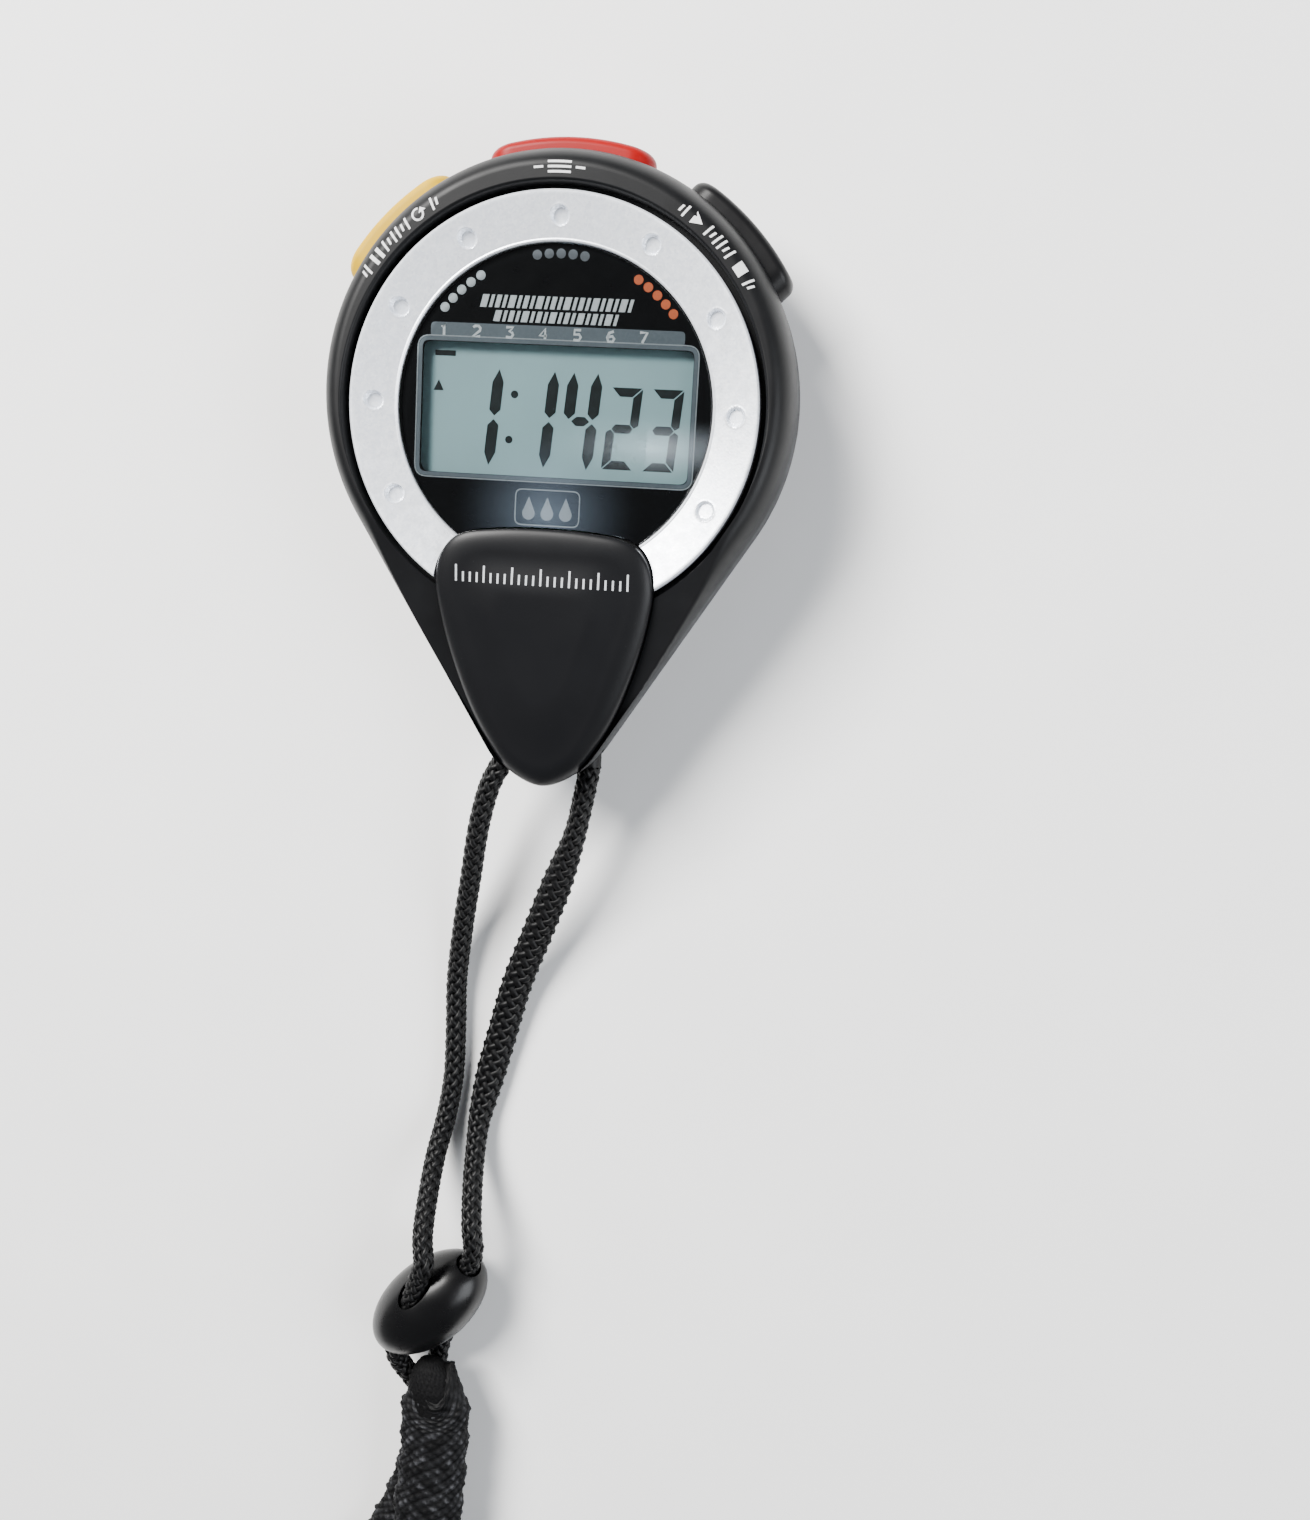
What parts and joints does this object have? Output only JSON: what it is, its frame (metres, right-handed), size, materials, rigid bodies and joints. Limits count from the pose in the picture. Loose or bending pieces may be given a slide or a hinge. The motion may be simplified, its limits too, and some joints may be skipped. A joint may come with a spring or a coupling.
{
  "type": "hand-held digital stopwatch",
  "caption": "Drop-shaped black stopwatch with a silver dimpled ring, digital display, red, yellow and black push buttons and a braided neck strap with a slider bead.",
  "frame": {"origin": "on the resting plane of the back, under the centre of the dial", "axes": "+Z out of the face, +Y towards the twelve o'clock button; the neck strap leaves the tip towards -Y"},
  "size_m": [0.0802, 0.3762, 0.0213],
  "materials": {
    "case_plastic": "satin black moulded plastic with a fine grain",
    "shield_plastic": "satin black moulded plastic, smooth",
    "black_rubber": "moulded rubber seal",
    "steel": "plain steel",
    "silver_ring": "silver paint with a fine sparkle, worn in spots",
    "window": "clear flat window",
    "dial_print": "glossy black print with coloured marks",
    "lcd_glass": "reflective liquid-crystal display",
    "white_plastic": "natural white moulded plastic",
    "pink_rubber": "layered silicone connector",
    "board_green": "green solder mask",
    "black_epoxy": "cast epoxy",
    "component_ceramic": "ceramic chip parts with tinned ends",
    "spring_bronze": "phosphor bronze",
    "brass": "plain brass",
    "cell_steel": "nickel-plated steel",
    "red_plastic": "satin red moulded plastic",
    "yellow_plastic": "satin yellow moulded plastic",
    "black_plastic": "satin black moulded plastic",
    "spring_steel": "stainless spring wire",
    "cord_braid": "thin round braided cord",
    "bead_gloss": "satin black moulded plastic",
    "strap_braid": "flattened tubular braid with light flecks",
    "tie_fabric": "hook-and-loop tape"
  },
  "bodies": {
    "watch": {"front_case": "case_plastic", "rear_case": "case_plastic", "case_gasket": "black_rubber", "case_screws": "steel", "bezel_ring": "silver_ring", "window": "window", "dial_plate": "dial_print", "shield": "shield_plastic", "lcd_panel": "lcd_glass", "lcd_frame": "white_plastic", "zebra_strips": "pink_rubber", "circuit_board": "board_green", "processor_blob": "black_epoxy", "quartz_crystal": "steel", "board_parts": "component_ceramic", "board_screws": "steel", "switch_contacts": "spring_bronze", "buzzer_disc": "brass", "buzzer_springs": "spring_bronze", "coin_cell": "cell_steel", "cell_holder": "white_plastic", "cell_contact_plus": "spring_bronze", "cell_contact_minus": "spring_bronze", "mode_spring": "spring_steel", "split_spring": "spring_steel", "start_spring": "spring_steel", "button_bushes": "brass", "button_seals": "black_rubber", "cord_bight": "cord_braid", "cord_left": "cord_braid", "cord_right": "cord_braid", "strap_lower": "strap_braid", "strap_upper": "strap_braid", "strap_mouth": "strap_braid", "strap_hank": "strap_braid", "strap_tie": "tie_fabric"},
    "mode_push": {"mode_button": "red_plastic", "mode_clip": "steel"},
    "split_push": {"split_button": "yellow_plastic", "split_clip": "steel"},
    "start_push": {"start_button": "black_plastic", "start_clip": "steel"},
    "door": {"battery_door": "case_plastic", "door_seal": "black_rubber"},
    "bead": {"slider_bead": "bead_gloss"}
  },
  "joints": [
    {"name": "mode_press", "type": "slide", "parent": "watch", "child": "mode_push", "axis": [0, -1, 0], "range_m": [0, 0.0012], "stiffness_N_per_m": 500, "springref_m": -0.0014, "deforming": ["mode_spring"]},
    {"name": "split_press", "type": "slide", "parent": "watch", "child": "split_push", "axis": [0.7071, -0.7071, 0], "range_m": [0, 0.0012], "stiffness_N_per_m": 500, "springref_m": -0.0014, "deforming": ["split_spring"]},
    {"name": "start_press", "type": "slide", "parent": "watch", "child": "start_push", "axis": [-0.7071, -0.7071, 0], "range_m": [0, 0.0012], "stiffness_N_per_m": 500, "springref_m": -0.0014, "deforming": ["start_spring"]},
    {"name": "battery_door_turn", "type": "hinge", "parent": "watch", "child": "door", "pos_m": [0, 0.0135, 0], "axis": [0, 0, 1], "range_deg": [0, 45]},
    {"name": "bead_slide", "type": "slide", "parent": "watch", "child": "bead", "axis": [0.297, 0.9142, 0.2756], "range_m": [0, 0.003]}
  ]
}
